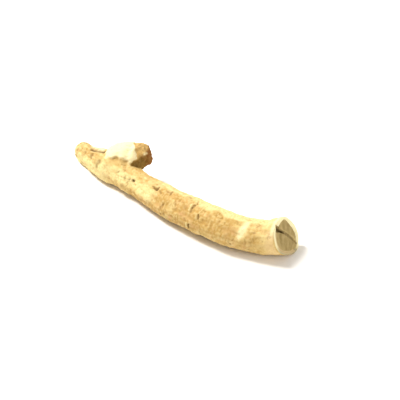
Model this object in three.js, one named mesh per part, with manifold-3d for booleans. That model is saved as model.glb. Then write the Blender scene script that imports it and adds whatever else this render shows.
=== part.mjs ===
// A dried ashwagandha root lying on its side: one long tapered root with a slow bend, sawn across
// at an angle at its thick end, and a short broken stub of a side root near its thin end.
// Millimetres, +Z up. The root lies on the plane Z = 0 with its cut end towards +X, its bend
// bows towards -Y, and the origin is under the middle of its box.
import * as THREE from 'three';
import { mergeVertices } from 'three/addons/utils/BufferGeometryUtils.js';
import Module from 'manifold-3d';

const wasm = await Module();
wasm.setup();

// Angles round a root are in degrees: 0 is straight up, 90 is the side that looks towards -Y
// on the main root, 180 is the underside and -90 the back.
const { degToRad, radToDeg } = THREE.MathUtils;

// The centre line from above and the radius along it, from the thin end to the thick one.
// The height of the main root follows from how it lies.
const MAIN_STATIONS = [
  { x: -4.1, y: 1.1, radius: 3.6 },
  { x: 3, y: -0.8, radius: 4.3 },
  { x: 12, y: -3.1, radius: 5 },
  { x: 30, y: -4.9, radius: 5.2 },
  { x: 49, y: -7.6, radius: 6 },
  { x: 67, y: -9, radius: 6.5 },
  { x: 84, y: -8.1, radius: 6.5 },
  { x: 95, y: -4.4, radius: 6.9 },
  { x: 103.3, y: 0.3, radius: 7.1 },
];

// The stub starts inside the main root and leans up over its back.
const STUB_STATIONS = [
  { x: 8.5, y: -2.6, z: 4.4, radius: 2.8 },
  { x: 15.2, y: -2.2, z: 7.2, radius: 4.4 },
  { x: 22.2, y: 0.8, z: 10.8, radius: 5.8 },
  { x: 28.1, y: 3.2, z: 12.3, radius: 5.5 },
];

// Where the two come closer than this, both swell towards each other, so that the stub grows
// out of the root without a sharp edge.
const JOIN_WIDTH = 4.6;
const JOIN_SAMPLES = { main: 80, stub: 24 };

const MAIN_SIDES = 36;
const MAIN_RINGS = 70;
const STUB_SIDES = 26;
const STUB_RINGS = 16;

// How the root lies: it touches down at these distances along it and is clear of the ground
// between them. Each touching place is worn flat by FLAT_DEPTH.
const TOUCHES = [6, 58, 101];
const TOUCH_HALF_LENGTH = 9;
const CLEARANCE = 0.7;
const FLAT_DEPTH = 0.35;
const UNDERSIDE = { from: 120, to: 240, step: 10 };
const GROUND = { length: 300, width: 200, depth: 20 };

// The slanted cut across the thick end and the slanted break of the stub: how steep they are,
// the angle they face, and how far along the root the slant fades away.
const CUT = { slant: 33, faces: 38, reach: 16 };
const BREAK = { slant: 28, faces: 70, reach: 9 };
const SLANT_EASE = 1.5;

// The bark stands a little proud round the cut, with a bevelled edge, and the wood lies back.
const BARK = 1.1;
const BARK_BEVEL = 0.5;
const BARK_STEP_WIDTH = 0.2;
const WOOD_BEHIND_BARK = 0.5;

// The drying crack in the cut face. Each point is a place on the face, across and up from its
// middle, with the width of the crack there.
const CRACK_POINTS = [
  { across: -6.8, up: 1.4, width: 2.3 },
  { across: -5.5, up: 1.3, width: 1.4 },
  { across: -3.3, up: 1.4, width: 0.85 },
  { across: 0.2, up: 1.25, width: 0.6 },
  { across: 3.9, up: 0.55, width: 0.6 },
  { across: 6.6, up: -0.5, width: 0.25 },
];
const CRACK_DEPTH = 2.4;

// How the cut bark's thickness changes round the cut: thin where the wood comes to a point,
// thicker beside it.
const BARK_CHANGES = {
  atPointOfWood: { angle: -37, half: 2.2, by: -0.5 },
  besidePoint: { angle: -76, half: 3.4, by: 0.3 },
};

const THIN_END_DOME = 2.2;
const STUB_START_DOME = 2;
const STUB_END_DOME = 1.6;
const STUB_SPLINTERS = 2.6;

// The torn edge of the stub: how far its teeth stand out, and how far back they are felt.
const TORN = { wide: 0.5, narrow: 0.35, reach: 4 };

// Dents and swellings: how far along the root, at what angle, their half lengths along and
// round it, and how far they rise or sink.
const MAIN_MARKS = {
  foldAboveThinEnd: { along: 12, angle: -20, half: [4.6, 1.2], rise: -0.9 },
  ridgeBehindFold: { along: 12.5, angle: -44, half: [5, 1.6], rise: 1.1 },
  firstThinEndWrinkle: { along: 12.6, angle: 44, half: [1.3, 3.2], rise: -0.4 },
  secondThinEndWrinkle: { along: 18.6, angle: 50, half: [1.4, 3.6], rise: -0.45 },
  thinEndLump: { along: 3, angle: 130, half: [3, 2.6], rise: 0.4 },
  lowSwelling: { along: 21, angle: 118, half: [4.5, 4], rise: 1 },
  collarBeforeStub: { along: 25, angle: 10, half: [7, 4.5], rise: 0.5 },
  collarBehindStub: { along: 16.5, angle: -95, half: [7.5, 5], rise: 1.1 },
  thinEndBackDent: { along: 5.5, angle: -100, half: [2.4, 2.2], rise: -0.5 },
  lowRootletScar: { along: 34, angle: 105, half: [2, 1.8], rise: 0.5 },
  insectHole: { along: 39.6, angle: 42, half: [1.3, 1.2], rise: -0.5 },
  backHollow: { along: 45, angle: -95, half: [9, 3.6], rise: -0.6 },
  pitPair: { along: 51.6, angle: 18, half: [2.2, 1.5], rise: -0.4 },
  shortFissure: { along: 59.4, angle: 14, half: [1.6, 1.3], rise: -0.4 },
  raisedPlate: { along: 60, angle: 60, half: [6, 6], rise: 0.3 },
  backRootletScar: { along: 70, angle: -70, half: [2.2, 2], rise: 0.8 },
  crossCrack: { along: 72.2, angle: 24, half: [1.4, 3.2], rise: -0.5 },
  backCrossWrinkle: { along: 84, angle: -100, half: [1.5, 5], rise: -0.45 },
  scrapedPatch: { along: 92.3, angle: 48, half: [2.6, 4], rise: -0.35 },
  dipBeforeCut: { along: 103, angle: -36, half: [2.6, 4], rise: -0.3 },
  flareOfCut: { along: 112, angle: -34, half: [5, 5.5], rise: 0.8 },
  lowCornerOfCut: { along: 112, angle: 98, half: [5, 2.6], rise: 0.7 },
};
const STUB_MARKS = {
  upperShoulder: { along: 11.5, angle: -15, half: [4, 5], rise: 0.7 },
  brownDip: { along: 14, angle: 48, half: [2.4, 1.3], rise: -0.8 },
  backFold: { along: 14.5, angle: -80, half: [1.2, 3.5], rise: -0.5 },
  endOfLobe: { along: 16.6, angle: 35, half: [2.2, 4.5], rise: 0.45 },
  waistBehindBreak: { along: 19.3, angle: 40, half: [1.3, 6], rise: -0.95 },
  underBreak: { along: 20.5, angle: 145, half: [3.2, 4.5], rise: -1.4 },
  lumpOnBreak: { along: 22.3, angle: 15, half: [1.6, 2.2], rise: 0.5 },
};

// The centre line through a root's stations.
function pathOf(stations) {
  const points = stations.map((s) => new THREE.Vector3(s.x, s.y, s.z ?? 0));
  const curve = new THREE.CatmullRomCurve3(points, false, 'centripetal');
  curve.arcLengthDivisions = 400;
  return curve;
}

// The radius through the same stations, as the height of a flat curve.
function thicknessOf(stations) {
  return new THREE.SplineCurve(stations.map((s, i) => new THREE.Vector2(i, s.radius)));
}

// A root at a share of its length: its middle, its radius, the way it runs, the way angle 0
// looks and the way angle 90 looks.
function sectionAt(root, share) {
  const middle = root.path.getPointAt(share);
  const radius = root.thickness.getPoint(root.path.getUtoTmapping(share)).y;
  const run = root.path.getTangentAt(share);
  const side = new THREE.Vector3(run.y, -run.x, 0).normalize();
  const up = new THREE.Vector3().crossVectors(side, run);
  const section = { middle, radius, run, up, side, along: share * root.length };
  if (root.lies) middle.z = lyingHeight(root, section);
  return section;
}

// A smooth bump of height 1 that fades to nothing.
function bump(distance, halfLength) {
  return Math.exp(-((distance / halfLength) ** 2));
}

// The distance round a root from one angle to another, the short way.
function arcBetween(angle, other, radius) {
  const turn = ((((angle - other) % 360) + 540) % 360) - 180;
  return degToRad(turn) * radius;
}

function marksAt(marks, section, angle) {
  let rise = 0;
  for (const mark of Object.values(marks)) {
    const lengthways = bump(section.along - mark.along, mark.half[0]);
    const round = bump(arcBetween(angle, mark.angle, section.radius), mark.half[1]);
    rise += mark.rise * lengthways * round;
  }
  return rise;
}

// The slow lobes, swellings and long furrows that every dried root has.
function mainRelief(along, angle) {
  const a = degToRad(angle);
  const lobes = 0.2 * Math.cos(2 * a + 0.9 + along / 45)
    + 0.16 * Math.cos(3 * a - 1.3 + along / 30)
    + 0.08 * Math.cos(5 * a + 0.6 - along / 24);
  const swellings = 0.17 * Math.sin(along / 4.3 + 0.8 + Math.cos(a))
    + 0.1 * Math.sin(along / 2.1 + 1.9 * Math.cos(a + 1));
  const furrows = 0.09 * Math.cos(9 * a + 0.5 * Math.sin(along / 9));
  return lobes + swellings + furrows;
}

function stubRelief(along, angle) {
  const a = degToRad(angle);
  const lobes = 0.28 * Math.cos(2 * a + 1.4) + 0.2 * Math.cos(3 * a + 0.4 + along / 8);
  const rings = 0.14 * Math.sin(along / 1.6 + 1.3 * Math.cos(a));
  const furrows = 0.08 * Math.cos(7 * a + along / 5);
  return lobes + rings + furrows;
}

function radiusAt(root, section, angle) {
  return section.radius + root.relief(section.along, angle)
    + marksAt(root.marks, section, angle);
}

// How high the underside is carried above the ground between its touching places.
function liftAt(along) {
  const touching = TOUCHES.map((touch) => bump(along - touch, TOUCH_HALF_LENGTH));
  return CLEARANCE * (1 - Math.min(1, touching.reduce((sum, value) => sum + value, 0)));
}

// The height of the centre line that leaves the underside at its lift.
function lyingHeight(root, section) {
  let reach = 0;
  for (let angle = UNDERSIDE.from; angle <= UNDERSIDE.to; angle += UNDERSIDE.step) {
    reach = Math.max(reach, -Math.cos(degToRad(angle)) * radiusAt(root, section, angle));
  }
  return reach + liftAt(section.along) - FLAT_DEPTH;
}

// How far the slant of a root's last end carries a point along the root.
function slantAt(root, along, radius, angle) {
  const { slant, faces, reach } = root.end;
  const near = Math.max(0, 1 - (root.length - along) / reach) ** SLANT_EASE;
  return -Math.tan(degToRad(slant)) * radius * Math.cos(degToRad(angle - faces)) * near;
}

// The cut face stands out at its bark and lies back at its wood.
function cutRelief(out) {
  return out > RIM.foot ? BARK_BEVEL : BARK_BEVEL - WOOD_BEHIND_BARK;
}

// The break is a low dome with a few splinters.
function breakRelief(out, angle) {
  const splinters = Math.sin(3 * degToRad(angle) + 5 * out) * out * (1 - out);
  return STUB_END_DOME * Math.sqrt(1 - out ** 2) + STUB_SPLINTERS * splinters;
}

// How far the teeth of a torn edge carry a point along the root.
function tornAt(root, along, angle) {
  if (!root.torn) return 0;
  const a = degToRad(angle);
  const near = Math.max(0, 1 - (root.length - along) / root.torn.reach);
  return near * (root.torn.wide * Math.sin(2 * a + 0.6) + root.torn.narrow * Math.sin(5 * a + 1.8));
}

function forwardAt(root, ring, section, radius, angle) {
  if (ring.end === 'first') return -root.startDome * Math.sqrt(1 - ring.out ** 2);
  const forward = slantAt(root, section.along, radius, angle)
    + tornAt(root, section.along, angle) * ring.out;
  return ring.end === 'last' ? forward + root.endRelief(ring.out, angle) : forward;
}

// The share of the radius that a ring runs at. The inner edge of the cut bark is uneven.
function outAt(root, ring, section, angle) {
  if (!root.bark || ring.end !== 'last' || ring.out < RIM.foot) return ring.out;
  let thickness = 1;
  for (const change of Object.values(root.bark)) {
    thickness += change.by * bump(arcBetween(angle, change.angle, section.radius), change.half);
  }
  return 1 - (1 - ring.out) * thickness;
}

// How far a point is from the side of a root, from balls strung along its centre line.
function gapTo(balls, point) {
  return Math.min(...balls.map((ball) => point.distanceTo(ball.middle) - ball.radius));
}

function ballsAlong(root, count) {
  return Array.from({ length: count + 1 }, (_, i) => sectionAt(root, i / count));
}

// How much a point swells for its nearness to the other root.
function joinSwelling(root, point) {
  const near = Math.max(0, 1 - Math.abs(gapTo(root.neighbour, point)) / JOIN_WIDTH);
  return (JOIN_WIDTH / 4) * near ** 2;
}

// One point of a root, from its ring and its angle.
function placeOn(root, ring, section, angle) {
  const radius = radiusAt(root, section, angle) * outAt(root, ring, section, angle);
  const outward = section.up.clone().multiplyScalar(Math.cos(degToRad(angle)))
    .addScaledVector(section.side, Math.sin(degToRad(angle)));
  const place = section.middle.clone()
    .addScaledVector(outward, radius)
    .addScaledVector(section.run, forwardAt(root, ring, section, radius, angle));
  return place.addScaledVector(outward, joinSwelling(root, place) * ring.out);
}

// The rings of a root from the middle of its first end, over its side, to the middle of its
// last end. Each ring has the share of the radius it is at and the share of the length.
function ringsOf(root) {
  const first = root.firstEnd.map((out) => ({ out, share: 0, end: 'first' }));
  const last = root.lastEnd.map((out) => ({ out, share: 1, end: 'last' }));
  const side = [];
  for (let i = 0; i <= root.rings; i += 1) {
    side.push({ out: 1, share: i / root.rings, end: 'none' });
  }
  return [...first, ...side, ...last];
}

// A closed root: a lathe of unit radius whose rings are then shaped and laid along the path.
function rootGeometry(root) {
  const rings = ringsOf(root);
  const profile = rings.map((ring, i) => new THREE.Vector2(ring.out, i));
  const geometry = new THREE.LatheGeometry(profile, root.sides);
  const position = geometry.getAttribute('position');
  const sections = rings.map((ring) => sectionAt(root, ring.share));
  for (let i = 0; i < position.count; i += 1) {
    const ring = Math.round(position.getY(i));
    const angle = radToDeg(Math.atan2(position.getX(i), position.getZ(i)));
    const place = placeOn(root, rings[ring], sections[ring], angle);
    position.setXYZ(i, place.x, place.y, place.z);
  }
  return closed(geometry);
}

// Joins the corners that meet, and drops the faces that have no width.
function closed(geometry) {
  geometry.deleteAttribute('normal');
  geometry.deleteAttribute('uv');
  const merged = mergeVertices(geometry, 1e-4);
  const old = merged.index.array;
  const faces = [];
  for (let i = 0; i < old.length; i += 3) {
    const [a, b, c] = [old[i], old[i + 1], old[i + 2]];
    if (a !== b && b !== c && c !== a) faces.push(a, b, c);
  }
  merged.setIndex(faces);
  return merged;
}

function solidOf(geometry) {
  return new wasm.Manifold(new wasm.Mesh({
    numProp: 3,
    vertProperties: geometry.getAttribute('position').array,
    triVerts: new Uint32Array(geometry.index.array),
  }));
}

function geometryOf(solid) {
  const mesh = solid.getMesh();
  const geometry = new THREE.BufferGeometry();
  geometry.setAttribute('position', new THREE.BufferAttribute(mesh.vertProperties, mesh.numProp));
  geometry.setIndex(new THREE.BufferAttribute(mesh.triVerts, 1));
  return geometry;
}

// The cut face as a frame: X across it, Y up it, Z out of it.
function cutFaceFrame() {
  const section = sectionAt(mainRoot, 1);
  const faces = degToRad(CUT.faces);
  const slant = degToRad(CUT.slant);
  const towards = section.up.clone().multiplyScalar(Math.cos(faces))
    .addScaledVector(section.side, Math.sin(faces));
  const out = section.run.clone().multiplyScalar(Math.cos(slant))
    .addScaledVector(towards, Math.sin(slant));
  const across = section.run.clone().multiplyScalar(Math.sin(slant))
    .addScaledVector(towards, -Math.cos(slant));
  const up = new THREE.Vector3().crossVectors(out, across);
  return new THREE.Matrix4().makeBasis(across, up, out).setPosition(section.middle);
}

// The open crack as a solid to take away: its outline on the cut face, pushed into the wood.
function crackSolid() {
  const upper = CRACK_POINTS.map((p) => new THREE.Vector2(p.across, p.up + p.width / 2));
  const lower = CRACK_POINTS.map((p) => new THREE.Vector2(p.across, p.up - p.width / 2));
  const shape = new THREE.Shape([...lower, ...upper.reverse()]);
  const settings = { depth: 2 * CRACK_DEPTH, bevelEnabled: false };
  const geometry = new THREE.ExtrudeGeometry(shape, settings);
  geometry.translate(0, 0, -CRACK_DEPTH);
  geometry.applyMatrix4(cutFaceFrame());
  return solidOf(closed(geometry));
}

// The ground under the whole root, as a solid to take away where the root is worn flat.
function groundSolid() {
  const geometry = new THREE.BoxGeometry(GROUND.length, GROUND.width, GROUND.depth);
  geometry.translate(mainRoot.length / 2, 0, -GROUND.depth / 2);
  return solidOf(closed(geometry));
}

// Shares of the radius on the cut face: the bevel's top, and the bark's inner edge and its foot.
const END_RADIUS = MAIN_STATIONS.at(-1).radius;
const RIM = {
  top: 1 - BARK_BEVEL / END_RADIUS,
  edge: 1 - BARK / END_RADIUS,
  foot: 1 - (BARK + BARK_STEP_WIDTH) / END_RADIUS,
};

const mainPath = pathOf(MAIN_STATIONS);
const mainRoot = {
  path: mainPath,
  thickness: thicknessOf(MAIN_STATIONS),
  length: mainPath.getLength(),
  lies: true,
  sides: MAIN_SIDES,
  rings: MAIN_RINGS,
  firstEnd: [0, 0.4, 0.7, 0.9],
  lastEnd: [RIM.top, RIM.edge, RIM.foot, 0.55, 0.25, 0],
  relief: mainRelief,
  marks: MAIN_MARKS,
  end: CUT,
  bark: BARK_CHANGES,
  startDome: THIN_END_DOME,
  endRelief: cutRelief,
};

const stubPath = pathOf(STUB_STATIONS);
const stubRoot = {
  path: stubPath,
  thickness: thicknessOf(STUB_STATIONS),
  length: stubPath.getLength(),
  lies: false,
  sides: STUB_SIDES,
  rings: STUB_RINGS,
  firstEnd: [0, 0.5, 0.85],
  lastEnd: [0.88, 0.6, 0.3, 0],
  relief: stubRelief,
  marks: STUB_MARKS,
  end: BREAK,
  torn: TORN,
  startDome: STUB_START_DOME,
  endRelief: breakRelief,
};

mainRoot.neighbour = ballsAlong(stubRoot, JOIN_SAMPLES.stub);
stubRoot.neighbour = ballsAlong(mainRoot, JOIN_SAMPLES.main);

function wholeRoot() {
  const grown = solidOf(rootGeometry(mainRoot)).add(solidOf(rootGeometry(stubRoot)));
  const lying = grown.subtract(groundSolid()).subtract(crackSolid());
  const geometry = geometryOf(lying);
  geometry.computeBoundingBox();
  const middle = geometry.boundingBox.getCenter(new THREE.Vector3());
  geometry.translate(-middle.x, -middle.y, 0);
  return geometry;
}

const barkMaterial = new THREE.MeshStandardMaterial({
  color: 0xdcb67c,
  roughness: 0.85,
  metalness: 0,
});
const root = new THREE.Mesh(wholeRoot(), barkMaterial);
root.name = 'root';

const part = new THREE.Group();
part.add(root);

export default part;
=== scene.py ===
"""A dried ashwagandha root: its bark, cut face, drying crack and broken side stub, on a pale floor.

Lengths are in millimetres until they reach Blender, which takes metres. A place on the bark is given
as (along, angle): how far along the root it lies from the thin end, and the angle round the root in
degrees, where 0 is the top and 90 is the side that the root's bend bows to.
"""

import itertools
import math

import bmesh
import bpy
import numpy as np
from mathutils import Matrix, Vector
from mathutils.kdtree import KDTree


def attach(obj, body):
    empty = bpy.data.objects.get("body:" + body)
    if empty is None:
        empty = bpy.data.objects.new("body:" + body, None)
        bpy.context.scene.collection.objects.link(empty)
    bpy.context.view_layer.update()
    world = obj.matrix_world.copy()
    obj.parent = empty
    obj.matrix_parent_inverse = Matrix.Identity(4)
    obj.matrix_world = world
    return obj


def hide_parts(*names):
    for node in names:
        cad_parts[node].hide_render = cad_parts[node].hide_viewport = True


MM = 0.001

# The middle line of the root from its thin end to its cut end, and of the stub from inside the root
# to its broken end: x, y, z and radius
ROOT_LINE = [
    (-54.3, 4.3, 3.6, 3.6),
    (-47.2, 2.4, 4.3, 4.3),
    (-38.2, 0.1, 5.3, 5.0),
    (-20.2, -1.7, 5.7, 5.2),
    (-1.2, -4.4, 5.5, 6.0),
    (16.8, -5.8, 6.5, 6.5),
    (33.8, -4.9, 6.7, 6.5),
    (44.8, -1.2, 6.3, 6.9),
    (53.1, 3.5, 7.3, 7.1),
]
STUB_LINE = [
    (-41.7, 0.6, 4.4, 2.8),
    (-35.0, 1.0, 7.2, 4.4),
    (-28.0, 4.0, 10.8, 5.8),
    (-22.1, 6.4, 12.3, 5.5),
]
STEPS_BETWEEN_STATIONS = 40

# The cut face: its middle, and the directions across it, up it and out of it
CUT_MIDDLE = (53.09, 3.48, 7.30)
CUT_AXES = [(0.219, 0.718, -0.661), (-0.388, 0.686, 0.616), (0.895, 0.122, 0.429)]

# The drying crack on the cut face, from its open mouth at the bark: across, up and width
CRACK = [
    (-7.4, 1.4, 3.6),
    (-6.2, 1.45, 2.6),
    (-4.7, 1.5, 1.2),
    (-3.3, 1.4, 0.95),
    (0.2, 1.25, 0.75),
    (3.9, 0.55, 0.7),
    (6.9, -0.5, 0.3),
]
# How dark and how deep the crack is, in its mouth and where it is a thin line
CRACK_DARK = (0.1, 0.4)
CRACK_DEPTH = (0.5, 0.3)
# The share of its width that is fully open to each side, and how soft the rest is
CRACK_CORE = 0.4
CRACK_SOFTNESS = 0.24

# The size of the faces, and how far behind the cut face they are split in four
VOXEL = 0.295
FINE_BEHIND_CUT = 2.2
# Smoothing of the whole surface, and less of it close to the cut face
SMOOTHING = {"rounds": 22, "pull": 0.55, "push": 0.57, "less_near_cut": 0.7}
# Rounding of the cut lip and of the stub's broken end
ROUNDING_PULL = 0.5
LIP_ROUNDS = 9
STUB_ROUNDS = 24
# Rounds of blurring that tell how near the lip and the wood are
LIP_SPREAD = 30
# How far under its surroundings a full hollow lies, and the rounds that even these out
HOLLOWS = {"rounds": 10, "pull": 0.6, "depth": 0.12}

# The limits of the relief, and how much weaker the bark's is close to the cut
RELIEF_LIMITS = (-0.9, 0.5)
CALM_NEAR_CUT = 0.7
FIBRE_HEIGHT = 0.05
FLOOR_GAP = 0.02

# The size of the noise's table of directions, and what brings its height to about 1
NOISE_TABLE = 256
NOISE_GAIN = 1.7
# One radius for noise and scattered cracks, all along the root
SKIN_RADIUS = 6.0

# Relief of the bark, each layer with its size along and round the root and its height
BARK_RELIEF = [
    {"along": 8.0, "round": 4.6, "height": 0.20, "seed": 11},
    {"along": 3.1, "round": 2.3, "height": 0.19, "seed": 12},
    {"along": 6.5, "round": 1.1, "height": 0.09, "seed": 13},
    {"along": 1.5, "round": 1.3, "height": 0.12, "seed": 14},
    {"along": 0.8, "round": 0.75, "height": 0.06, "seed": 15},
]
# Wrinkles across the root, which come in patches
CROSS_WRINKLES = {"along": 0.95, "round": 3.4, "height": 1, "seed": 16}
WRINKLE_PATCHES = {"along": 4, "round": 3, "height": 1, "seed": 17}
WRINKLE_HEIGHT = 0.14
WRINKLE_SWELL = 0.5
# Where the bark is wrinkled across: from, to, and how strongly
WRINKLED_STRETCHES = [(8, 22, 0.8), (58, 90, 1.0), (94, 102, 0.5)]
WRINKLED_ELSEWHERE = 0.25
STRETCH_SOFTNESS = 2

# Small shifts that make the outline of a mark uneven, and broad ones for the edges of a zone
MARK_SHIFTS = {
    "along": [
        {"along": 1.3, "round": 1.3, "height": 0.3, "seed": 31},
        {"along": 0.5, "round": 0.5, "height": 0.12, "seed": 33},
    ],
    "round": [
        {"along": 1.3, "round": 1.3, "height": 0.3, "seed": 32},
        {"along": 0.5, "round": 0.5, "height": 0.12, "seed": 34},
    ],
}
ZONE_SHIFTS = {
    "along": {"along": 4.5, "round": 3.0, "height": 1.6, "seed": 35},
    "angle": {"along": 5.0, "round": 3.0, "height": 12, "seed": 36},
}
# Lighter and darker patches of the bark
TONE = [
    {"along": 4.0, "round": 2.4, "height": 0.6, "seed": 61},
    {"along": 1.7, "round": 1.1, "height": 0.4, "seed": 62},
]
# Noise in space: its size, its height and its seed
CLOUDS = {
    "crack_edge": {"size": 0.9, "height": 0.18, "seed": 43},
    "torn_lumps": {"size": 1.5, "height": 0.35, "seed": 51},
    "torn_grit": {"size": 0.8, "height": 0.16, "seed": 52},
    "torn_edge": {"size": 1.6, "height": 0.7, "seed": 53},
    "lobe_edge": {"size": 1.8, "height": 0.35, "seed": 54},
    "torn_colour": {"size": 1.6, "height": 1, "seed": 55},
}

# Soft limits: a share is 0 at the first number and 1 at the second, which may be the lower one
LIMITS = {
    # How far out of the cut face
    "lip": (0.12, 0.24),
    "behind_lip": (0.0, -0.5),
    "crack_surface": (-0.4, -0.1),
    "wood": (-0.9, -0.5),
    "calm": (-1.6, -0.2),
    "rim": (-1.8, -0.5),
    "near_cut": (-3.0, -1.2),
    "crack_bottom": (-4, -3.4),
    # How far across the cut face, and up from the crack
    "crack_start": (-7.75, -7.45),
    "crack_thins": (-5.8, -2.5),
    "pale_line": (-5.5, -4.5),
    "over_crack": (-0.2, 0.2),
    # How squarely the surface looks out of the cut face, and away from its middle
    "looks_out": (0.62, 0.8),
    "looks_aside": (0.45, 0.2),
    # The angle round the root at the cut
    "far_side_start": (-160, -130),
    "far_side_end": (-20, -50),
    "near_side": (10, 40),
    # Where the cut lip is painted lit, and where its low side is painted in shade
    "lit_start": (-172, -150),
    "lit_end": (95, 65),
    "shaded_side_start": (80, 110),
    "shaded_side_end": (-160, -175),
    "rim_highlight_side": (70, 30),
    # How much of the lip or of the wood is felt
    "lip_beside_wood": (0.06, 0.2),
    "wood_beside_lip": (0.02, 0.1),
    "wide_lip": (0.1, 0.25),
    # How much nearer to the stub's side than to the root's, how far along the stub and out from it
    "nearer_stub": (-0.6, 1.4),
    "out_of_root": (6, 9),
    "clear_of_root": (0.3, 1.2),
    "broken": (16.5, 18.5),
    "past_torn_edge": (-0.3, 0.3),
    "beside_stub": (8.8, 7.6),
    # How high on the stub, and where on it in x and y
    "upper": (0.6, 2.4),
    "crown": (3.2, 4.4),
    "upper_side": (11.6, 9.8),
    "red": (4.4, 8.4),
    "lobe": (-0.4, 0.8),
    "lobe_end": (-19, -21),
    # Wrinkles, and how high above the ground the relief starts
    "wrinkle_patches": (-0.2, 0.4),
    "creases": (0.22, 0),
    "off_ground": (0.05, 0.5),
}

# Short cracks, rootlet scars and soft blotches at random places
DASHES = {
    "count": 200,
    "clear_of_end": 1,
    "length": (0.5, 1.8),
    "width": (0.3, 0.55),
    "lean": 0.5,
    "strength": (0.4, 1),
    "height": -0.14,
    "dark": 0.3,
    "seed": 71,
}
SCARS = {
    "count": 9,
    "clear_of_ends": (20, 10),
    "angle": (100, 330),
    "size": (0.7, 1.2),
    "parts": [
        {"size": (1.7, 1.5), "height": 0.3, "dust_and_highlight": 0.3},
        {"size": (0.7, 0.6), "height": -0.5, "dark": 0.5},
    ],
    "seed": 72,
}
# There are more blotches towards the thin end
BLOTCHES = {
    "count": 230,
    "crowding": 2.1,
    "size": (0.6, 1.6),
    "narrowness": 0.8,
    "height": 0.06,
    "share": (0.3, 0.75),
    "seed": 73,
}

# Broad areas of darker tan bark and of pale bark, each from one place to another with soft edges: partly
# the bark's own tone and dust, partly painted light and shade
TONE_AND_PAINTED_LIGHT_ZONES = [
    # Darker tan over the middle: partly the bark's own tone, partly painted shade
    {"from": (56, 7), "to": (92, 86), "tan": 0.85},
    {"from": (56, 86), "to": (92, 300), "tan": 0.3},
    {"from": (92, 22), "to": (101, 110), "tan": 0.4},
    # Painted shade: the middle darkened further
    {"from": (50, -10), "to": (76, 110), "tan": 0.9},
    # Painted light: paler, warmer bark beside the cut on its shaded lower side
    {"from": (103.5, 30), "to": (114, 130), "dust_and_highlight": 0.7, "pink": 0.25},
    {"from": (0, -60), "to": (17, 55), "tan": 0.6},
    # Paler bark on the thin end's lower side: partly dust, partly painted light
    {"from": (2, 62), "to": (24, 130), "dust_and_highlight": 0.8},
    {"from": (17, 34), "to": (25, 80), "dust_and_highlight": 0.7},
    {"from": (37, 84), "to": (56, 150), "tan": 0.7},
    {"from": (27, -60), "to": (47, 22), "tan": 0.45},
    {"from": (8, -30), "to": (17.5, 60), "tan": 0.75},
    {"from": (23, 30), "to": (52, 80), "dust_and_highlight": 0.65},
    # Painted highlight: pale bands along the top edge towards the cut
    {"from": (74, -70), "to": (110, 5), "dust_and_highlight": 0.85},
    {"from": (50, -70), "to": (74, -6), "dust_and_highlight": 0.65},
]
ZONE_SOFTNESS = {"along": 1.6, "angle": 7}

# Marks on the bark. Height is below 0 for a dent, and the rest are shares of colour
SPOTS = [
    {"at": (38.5, 45), "size": (0.95, 0.85), "height": -0.8, "dark": 1.0},
    {"at": (36.8, 48), "size": (0.9, 0.65), "height": -0.2, "dark": 0.6},
    {"at": (40.9, 55), "size": (0.4, 0.35), "height": -0.12, "dark": 0.35},
    {"at": (50.0, 2), "size": (0.7, 0.5), "height": -0.2, "dark": 0.35},
    {"at": (51.3, 20), "size": (1.3, 0.9), "height": -0.15, "dark": 0.3, "brown": 0.3},
    {"at": (44.4, 62), "size": (3.6, 2.4), "dust_and_highlight": 0.6},
    {"at": (50.0, 62), "size": (3.4, 2.4), "height": 0.12, "dust_and_highlight": 0.9},
    {"at": (33.0, 66), "size": (5.0, 2.2), "dust_and_highlight": 0.8},
    {"at": (63.0, 54), "size": (2.0, 2.6), "height": 0.12, "dust_and_highlight": 0.6},
    {"at": (56.8, 24), "size": (2.6, 2.2), "height": -0.08, "tan": 0.8},
    {"at": (58.5, 106), "size": (4.5, 2.4), "tan": 0.8},
    {"at": (63.4, 96), "size": (1.0, 0.8), "pink": 0.6},
    {"at": (68.3, 65), "size": (1.2, 1.0), "pink": 0.4},
    {"at": (22.2, 27), "size": (0.55, 0.5), "height": -0.15, "dark": 0.3},
    {"at": (23.2, 43), "size": (0.6, 0.5), "height": -0.15, "dark": 0.25},
    {"at": (3.3, 19), "size": (1.7, 1.5), "brown": 0.45},
    {"at": (1.9, 64), "size": (1.3, 2.0), "pink": 0.35},
    {"at": (18.8, 44), "size": (1.8, 1.3), "height": -0.35, "dark": 0.35, "brown": 0.5},
    {"at": (18.2, 70), "size": (1.0, 1.9), "height": -0.3, "dark": 0.25, "brown": 0.6},
    {"at": (16.5, 56), "size": (1.0, 1.6), "brown": 0.35},
    # Paler bark on the thin end's lower side: partly dust, partly painted light
    {"at": (7.9, 110), "size": (4.0, 2.6), "dust_and_highlight": 0.7},
    {"at": (17.5, 100), "size": (6.0, 2.6), "dust_and_highlight": 0.8},
    {"at": (21.5, 14), "size": (2.2, 2.4), "height": 0.15, "dust_and_highlight": 0.7},
    {"at": (21.6, 50), "size": (1.6, 2.6), "height": 0.1, "dust_and_highlight": 0.5},
    {"at": (98.7, 42), "size": (0.7, 0.5), "height": -0.2, "dark": 0.25, "pink": 0.3},
    {"at": (97.5, 76), "size": (0.9, 0.7), "height": -0.15, "dark": 0.22},
    {"at": (97.3, 105), "size": (1.2, 0.6), "height": -0.2, "dark": 0.3},
    {"at": (104.0, 20), "size": (2.4, 2.6), "dust_and_highlight": 0.5},
    {"at": (102.5, 58), "size": (2.2, 2.0), "dust_and_highlight": 0.5},
    {"at": (101.3, 8), "size": (1.1, 2.0), "height": -0.12, "brown": 0.15},
]
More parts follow.
